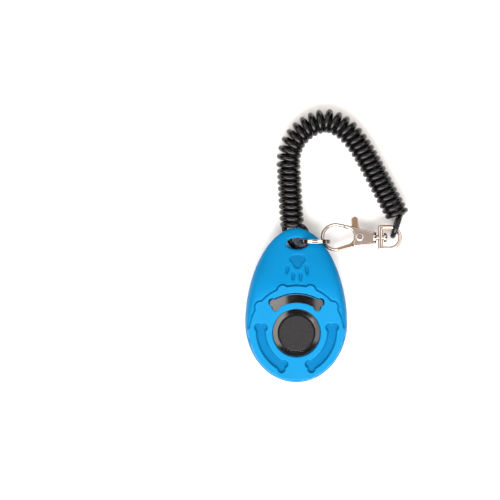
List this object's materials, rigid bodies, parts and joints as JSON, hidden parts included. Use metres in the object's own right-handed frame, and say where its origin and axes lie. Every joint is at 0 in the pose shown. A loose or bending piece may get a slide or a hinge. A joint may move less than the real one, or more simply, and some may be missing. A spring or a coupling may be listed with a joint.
{
  "type": "clicker trainer",
  "caption": "Drop-shaped button clicker with bone cut-outs, a curly wrist cord, a split ring and a swivel lobster clasp.",
  "frame": {"origin": "on the button's axis, in the plane of the flat back that the clicker rests on", "axes": "+Z the way the button faces, +Y from the button towards the tip with the eye, +X to the right seen from the front"},
  "size_m": [0.0691, 0.1155, 0.0182],
  "materials": {
    "cover_plastic": "satin moulded ABS, fine texture",
    "button_plastic": "matte, finely grained",
    "spring_steel": "polished spring steel",
    "screw_steel": "zinc plated",
    "nickel": "polished nickel plating",
    "cord_rubber": "glossy black TPU"
  },
  "bodies": {
    "case": {"front_cover": "cover_plastic", "back_cover": "cover_plastic", "case_screw": "screw_steel", "click_dome": "spring_steel", "swivel_eye": "nickel", "wrist_coil": "cord_rubber", "case_cord_loop": "cord_rubber", "clasp_cord_loop": "cord_rubber"},
    "button": {"button_cap": "button_plastic", "button_retainer": "screw_steel"},
    "ring": {"split_ring": "nickel"},
    "clasp": {"clasp_body": "nickel", "swivel_pin": "nickel", "gate_rivet": "nickel", "gate_spring": "spring_steel"},
    "gate": {"clasp_gate": "nickel"}
  },
  "joints": [
    {"name": "button_press", "type": "slide", "parent": "case", "child": "button", "axis": [0, 0, -1], "range_m": [0, 0.0012], "stiffness_N_per_m": 4000, "springref_m": -0.0002, "deforming": ["click_dome"]},
    {"name": "ring_turn", "type": "hinge", "parent": "case", "child": "ring", "pos_m": [0.0079, 0.0382, 0.0077], "axis": [0, 1, 0], "continuous": true},
    {"name": "swivel_turn", "type": "hinge", "parent": "case", "child": "clasp", "pos_m": [0.0269, 0.0399, 0.006], "axis": [1, 0, 0], "range_deg": [-12, 12]},
    {"name": "gate_open", "type": "hinge", "parent": "clasp", "child": "gate", "pos_m": [0.0269, 0.0402, 0.006], "axis": [0, 0, -1], "range_deg": [0, 22], "stiffness_Nm_per_rad": 0.02, "springref_deg": -20.05}
  ]
}
